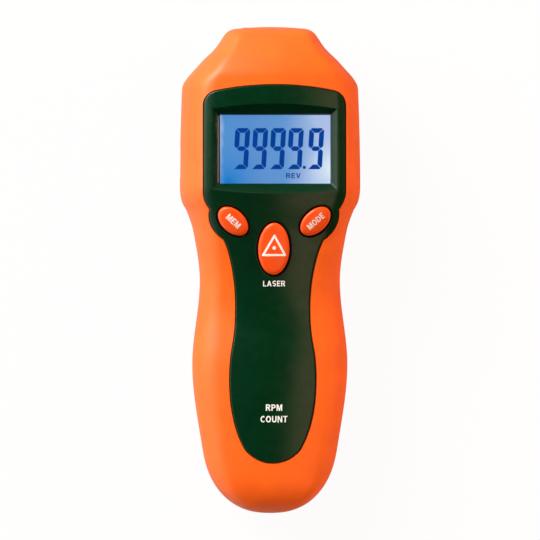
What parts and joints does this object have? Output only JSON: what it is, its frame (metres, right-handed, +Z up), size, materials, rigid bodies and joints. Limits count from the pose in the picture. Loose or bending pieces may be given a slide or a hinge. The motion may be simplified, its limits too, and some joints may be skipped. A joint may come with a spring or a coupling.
{
  "type": "laser tachometer",
  "caption": "Hand-held laser tachometer: waisted two-shell case, crowned front panel with recessed digital display and three push keys, optics in the nose, battery door on the back",
  "frame": {"origin": "centre of the bounding box in plan, on the flat back it rests on", "axes": "Y along the length with the nose to +Y, X across, Z up out of the display"},
  "size_m": [0.0592, 0.16, 0.042],
  "materials": {
    "orange_plastic": "satin moulded plastic",
    "dark_green_plastic": "fine textured satin plastic",
    "orange_key": "smooth domed key",
    "clear_window": "clear polished window",
    "blue_display": "blue backlit display cell",
    "white_plastic": "white diffuser",
    "black_plastic": "black moulded plastic",
    "contact_rubber": "layered silicone contact strip",
    "green_board": "solder resist on circuit board",
    "steel": "plated steel",
    "black_metal": "black anodised barrel",
    "optical_glass": "polished lens",
    "smoked_window": "smoked red plastic",
    "battery_case": "plain lacquered metal case",
    "red_lead": "insulated lead",
    "black_lead": "insulated lead"
  },
  "bodies": {
    "case": {"front_shell": "orange_plastic", "back_shell": "orange_plastic", "front_panel": "dark_green_plastic", "display_window": "clear_window", "lcd_glass": "blue_display", "lcd_backlight": "white_plastic", "lcd_frame": "black_plastic", "lcd_connector": "contact_rubber", "mem_switch": "black_plastic", "mode_switch": "black_plastic", "laser_switch": "black_plastic", "main_board": "green_board", "controller_chip": "black_plastic", "crystal": "steel", "capacitor": "black_plastic", "optics_holder": "black_plastic", "laser_module": "black_metal", "laser_lens": "optical_glass", "sensor_lens": "optical_glass", "sensor_window": "smoked_window", "photo_detector": "smoked_window", "battery": "battery_case", "battery_snap": "black_plastic", "battery_lead_red": "red_lead", "battery_lead_black": "black_lead", "case_screw_1": "steel", "case_screw_2": "steel", "case_screw_3": "steel", "case_screw_4": "steel", "case_screw_5": "steel", "board_screw_1": "steel", "board_screw_2": "steel", "board_screw_3": "steel", "board_screw_4": "steel"},
    "mem_key_body": {"mem_key": "orange_key"},
    "mode_key_body": {"mode_key": "orange_key"},
    "laser_key_body": {"laser_key": "orange_key"},
    "cover": {"battery_cover": "orange_plastic"}
  },
  "joints": [
    {"name": "mem_key_press", "type": "slide", "parent": "case", "child": "mem_key_body", "axis": [0, 0, -1], "range_m": [0, 0.0006], "stiffness_N_per_m": 800, "springref_m": -0.0008},
    {"name": "mode_key_press", "type": "slide", "parent": "case", "child": "mode_key_body", "axis": [0, 0, -1], "range_m": [0, 0.0006], "stiffness_N_per_m": 800, "springref_m": -0.0008},
    {"name": "laser_key_press", "type": "slide", "parent": "case", "child": "laser_key_body", "axis": [0, 0, -1], "range_m": [0, 0.0006], "stiffness_N_per_m": 800, "springref_m": -0.0008},
    {"name": "battery_cover_hinge", "type": "hinge", "parent": "case", "child": "cover", "pos_m": [0, -0.0143, 0.0003], "axis": [1, 0, 0], "range_deg": [0, 75]}
  ]
}
